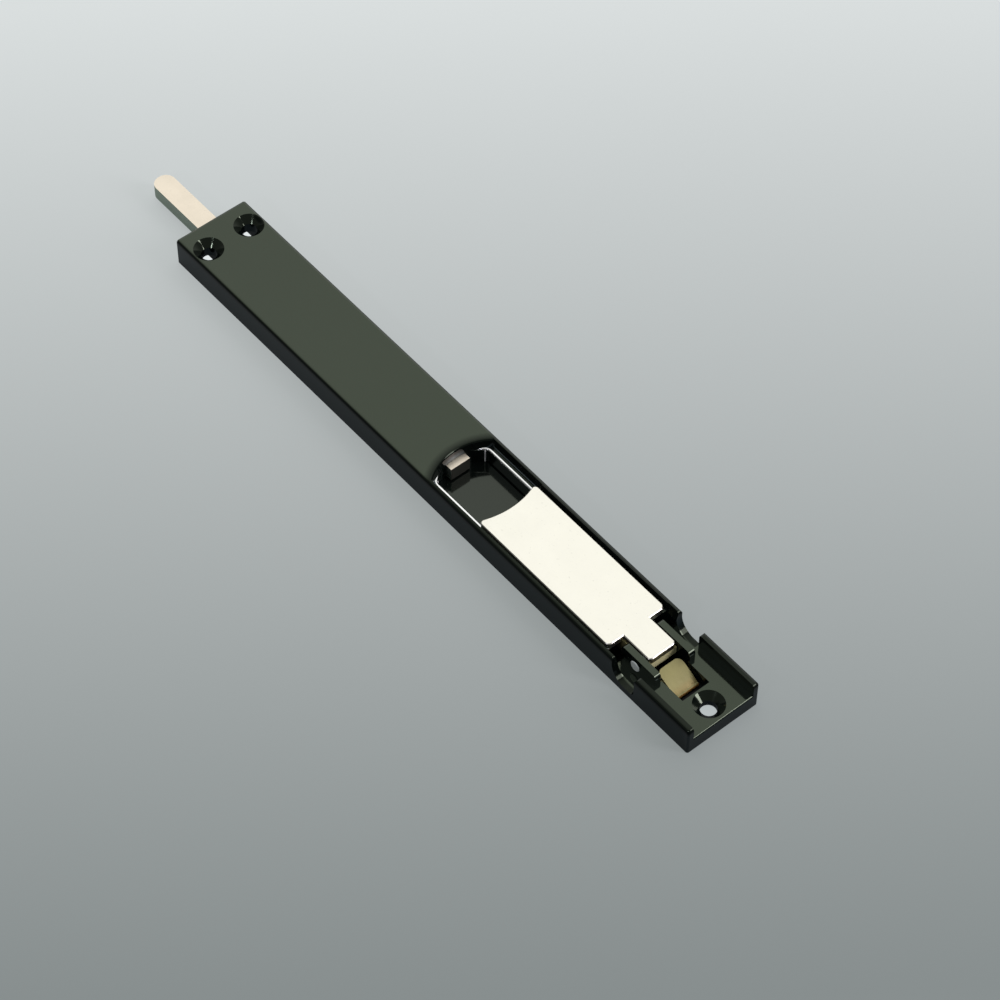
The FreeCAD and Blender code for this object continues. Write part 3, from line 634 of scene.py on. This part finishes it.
def floor_light(tree, studio, sizes):
    """How strongly each kind of ray sees the floor's own light.

    The camera sees it in full, and more of it in the window under the case, which only the screw
    holes show. Reflections see a share of it, and other rays see none.
    """
    spot = axes_of(tree, "Object")
    under = maths(tree, "MULTIPLY", within(tree, spot["Y"], 0.0, sizes.window_width),
                  within(tree, spot["X"], sizes.window_x, sizes.window_length))
    rays = tree.nodes.new("ShaderNodeLightPath").outputs
    full = maths(tree, "ADD", 1.0, maths(tree, "MULTIPLY", under, studio.hole_glow))
    direct = maths(tree, "MULTIPLY", rays["Is Camera Ray"], full)
    mirrored = maths(tree, "MAXIMUM", rays["Is Glossy Ray"], rays["Is Transmission Ray"])
    return maths(tree, "ADD", direct, maths(tree, "MULTIPLY", mirrored, studio.mirror_glow))


def floor_material(studio, sizes):
    """Pale paper that darkens towards the camera, with a share of its colour free from shadow.

    From below the paper is clear, so that the back can be looked at.
    """
    material, tree, shader = new_material("floor_paper")
    turn = floor_turn(tree, studio)
    glow = studio.floor_glow
    for socket, part in (("Base Color", 1 - glow), ("Emission Color", glow)):
        tint = blend(tree, turn, dim(studio.floor_near, part), dim(studio.floor_far, part))
        tree.links.new(tint, shader.inputs[socket])
    tree.links.new(floor_light(tree, studio, sizes), shader.inputs["Emission Strength"])
    shader.inputs["Roughness"].default_value = 1.0
    shader.inputs["Specular IOR Level"].default_value = 0.0
    side = tree.nodes.new("ShaderNodeNewGeometry")
    clear = tree.nodes.new("ShaderNodeBsdfTransparent")
    either = tree.nodes.new("ShaderNodeMixShader")
    tree.links.new(side.outputs["Backfacing"], either.inputs["Fac"])
    tree.links.new(shader.outputs["BSDF"], either.inputs[1])
    tree.links.new(clear.outputs["BSDF"], either.inputs[2])
    out = find_node(tree, "ShaderNodeOutputMaterial")
    tree.links.new(either.outputs["Shader"], out.inputs["Surface"])
    return material


def lay_floor(scene, studio, sizes):
    """A wide level floor just under the bolt: a square of four corners."""
    corners = [(x * FLOOR_HALF, y * FLOOR_HALF, -FLOOR_DROP)
               for x, y in ((-1, -1), (1, -1), (1, 1), (-1, 1))]
    mesh = bpy.data.meshes.new("floor")
    mesh.from_pydata(corners, [], [(0, 1, 2, 3)])
    mesh.materials.append(floor_material(studio, sizes))
    floor = bpy.data.objects.new("floor", mesh)
    scene.collection.objects.link(floor)


class BOLT_OT_paint_case(bpy.types.Operator):
    """Enamels the casting"""

    bl_idname = "bolt.paint_case"
    bl_label = "Paint the case"

    def execute(self, context):
        look = context.scene.bolt_finishes
        coat = enamel("case_enamel", look.case_black, look.case_sheen, look.case_gloss)
        # Painted shade in the casting's sheen on the rims, notches, lip and side tops.
        shade_case_sheen(coat, look, context.scene.bolt_sizes)
        paint_node("body", coat)
        return {"FINISHED"}


class BOLT_OT_plate_lever(bpy.types.Operator):
    """Gives the lever its satin nickel and the pivot pin a pale finish that is a painted highlight"""

    bl_idname = "bolt.plate_lever"
    bl_label = "Plate the lever"

    def execute(self, context):
        look = context.scene.bolt_finishes
        paint_node("lever_plate", satin_metal("lever_nickel", look.nickel))
        # Painted highlight on the pivot pin.
        paint_node("pivot_pin", satin_metal("pin_end", look.pin_highlight))
        return {"FINISHED"}


class BOLT_OT_plate_bolt(bpy.types.Operator):
    """Gives the bolt its coarser nickel and the drive bar its blacking"""

    bl_idname = "bolt.plate_bolt"
    bl_label = "Plate the bolt"

    def execute(self, context):
        look = context.scene.bolt_finishes
        nickel = satin_metal("bolt_nickel", look.bolt_nickel)
        # Painted shade on the bolt's upright sides.
        tint_face(nickel, "Z", (0.7, 0.3), look.bolt_side_shade)
        # Painted shade on the bolt's tail end face.
        tint_face(nickel, "X", (-0.95, -0.99), look.cut_end_shade)
        paint_node("bolt", nickel)
        paint_node("drive_bar", enamel("bar_black", look.bar_black, look.bar_sheen, look.bar_gloss))
        return {"FINISHED"}


class BOLT_OT_finish_works(bpy.types.Operator):
    """Finishes the brass hub and leaf, the steel linkage, rivets and back plate"""

    bl_idname = "bolt.finish_works"
    bl_label = "Finish the works"

    def execute(self, context):
        look = context.scene.bolt_finishes
        brass = satin_metal("dull_brass", look.brass)
        # Painted highlight on the hub's rear face.
        tint_face(brass, "X", (-0.90, -0.97), look.hub_face_highlight)
        paint_node("lever_block", brass)
        spring = satin_metal("leaf_brass", look.brass)
        # Painted orange light on the leaf's end.
        tint_face(spring, "X", (-0.5, -0.8), look.leaf_end_light)
        paint_node("detent_leaf", spring)
        paint_node("leaf_rivet", brass)
        steel = satin_metal("zinc_plate", look.steel)
        for name in ("link", "drive_pin", "link_pin"):
            paint_node(name, steel)
        plate = satin_metal("plate_steel", look.steel)
        tint_face(plate, "Z", (-0.8, -0.5), look.plate_black)
        paint_node("back_plate", plate)
        rivet = satin_metal("rivet_steel", dim(look.steel, look.rivet_dim))
        for prefix in ("plate_rivet", "bolt_rivet", "block_rivet"):
            paint_row(prefix, rivet)
        return {"FINISHED"}


class BOLT_OT_brighten_pocket(bpy.types.Operator):
    """Adds the bare bright edge round the finger pocket and the painted highlight lines down its
    corners
    """

    bl_idname = "bolt.brighten_pocket"
    bl_label = "Brighten the pocket's edge"

    def execute(self, context):
        look, sizes = context.scene.bolt_finishes, context.scene.bolt_sizes
        bare = satin_metal("bare_edge", look.edge_metal)
        # White beads down the pocket's corners: painted highlights.
        line_highlight = satin_metal("corner_highlight_finish", look.corner_highlight)
        pocket_edge(sizes, bare)
        corner_lines(sizes, line_highlight)
        return {"FINISHED"}


class BOLT_OT_set_stage(bpy.types.Operator):
    """Sets up the camera, the lamps, the room and the floor"""

    bl_idname = "bolt.set_stage"
    bl_label = "Set the stage"

    def execute(self, context):
        scene, studio = context.scene, context.scene.bolt_studio
        place_camera(scene, studio)
        light_room(scene, studio)
        for name, place in LAMPS.items():
            strip_light(name, getattr(studio, name), **place)
        lay_floor(scene, studio, scene.bolt_sizes)
        scene.view_settings.view_transform = "Standard"
        return {"FINISHED"}


STEPS = ("paint_case", "plate_lever", "plate_bolt", "finish_works", "brighten_pocket", "set_stage")


class BOLT_PT_bench(bpy.types.Panel):
    """The bolt's steps in the 3D view's sidebar"""

    bl_idname = "BOLT_PT_bench"
    bl_label = "Lever bolt"
    bl_space_type = "VIEW_3D"
    bl_region_type = "UI"
    bl_category = "Lever bolt"

    def draw(self, context):
        scene = context.scene
        for step in STEPS:
            self.layout.operator("bolt." + step)
        for group in (scene.bolt_finishes, scene.bolt_sizes, scene.bolt_studio):
            box = self.layout.box()
            for name in group.bl_rna.properties.keys():
                if name not in ("rna_type", "name"):
                    box.prop(group, name)


CLASSES = (BoltFinishes, BoltSizes, BoltStudio, BOLT_OT_paint_case, BOLT_OT_plate_lever,
           BOLT_OT_plate_bolt, BOLT_OT_finish_works, BOLT_OT_brighten_pocket, BOLT_OT_set_stage,
           BOLT_PT_bench)


def register():
    """Registers the classes and hangs the settings on the scene."""
    for kind in CLASSES:
        bpy.utils.register_class(kind)
    bpy.types.Scene.bolt_finishes = bpy.props.PointerProperty(type=BoltFinishes)
    bpy.types.Scene.bolt_sizes = bpy.props.PointerProperty(type=BoltSizes)
    bpy.types.Scene.bolt_studio = bpy.props.PointerProperty(type=BoltStudio)


def unregister():
    """Takes the settings and the classes away again."""
    for name in ("bolt_studio", "bolt_sizes", "bolt_finishes"):
        delattr(bpy.types.Scene, name)
    for kind in reversed(CLASSES):
        bpy.utils.unregister_class(kind)


def main():
    """Runs every step in order."""
    register()
    for step in STEPS:
        getattr(bpy.ops.bolt, step)()


if __name__ == "__main__":
    main()
